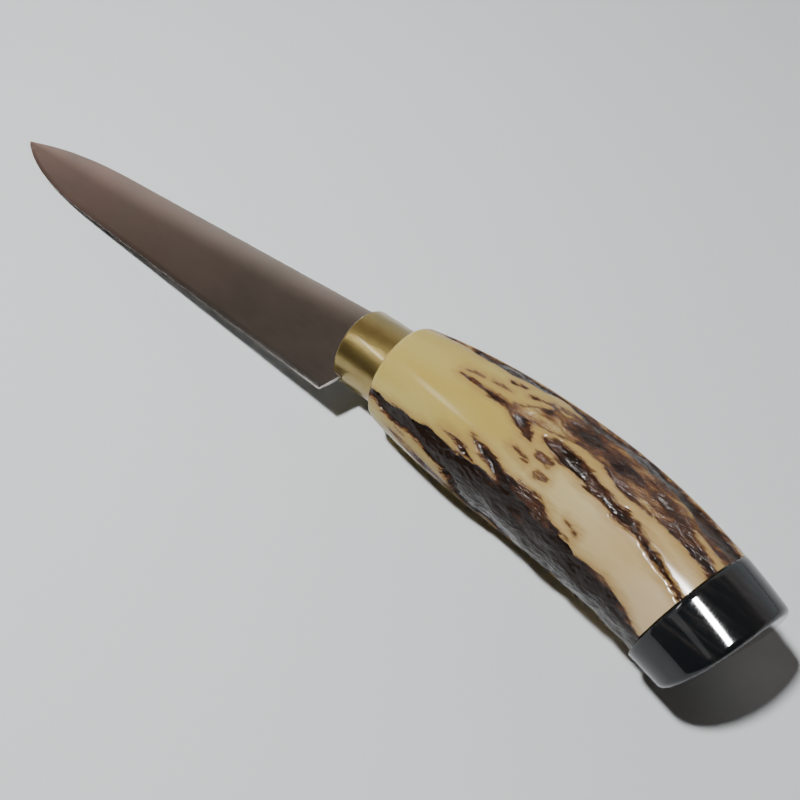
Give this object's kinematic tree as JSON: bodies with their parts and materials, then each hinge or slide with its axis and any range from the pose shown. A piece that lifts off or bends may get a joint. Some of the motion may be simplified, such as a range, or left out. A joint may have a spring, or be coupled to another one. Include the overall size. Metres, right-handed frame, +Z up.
{
  "type": "fixed-blade knife",
  "caption": "Fixed-blade knife with a straight-spined blade, a turned brass ferrule and a swelling stag-antler handle closed by a polished horn butt cap.",
  "frame": {"origin": "centre of the bounding box, at its bottom: the surface that the knife lies on", "axes": "+X from the blade's tip to the butt, +Y to the side of the blade's spine, +Z up from the surface, across the blade's thickness"},
  "size_m": [0.2346, 0.0372, 0.0307],
  "materials": {
    "steel": "satin",
    "brass": "satin",
    "antler": "gloss",
    "resin": "satin",
    "horn": "polished",
    "beech": "matte"
  },
  "bodies": {
    "root": {"blade": "steel", "ferrule": "brass", "antler_handle": "antler", "tang_bedding": "resin", "butt_cap": "horn", "cap_dowel": "beech"}
  },
  "joints": []
}
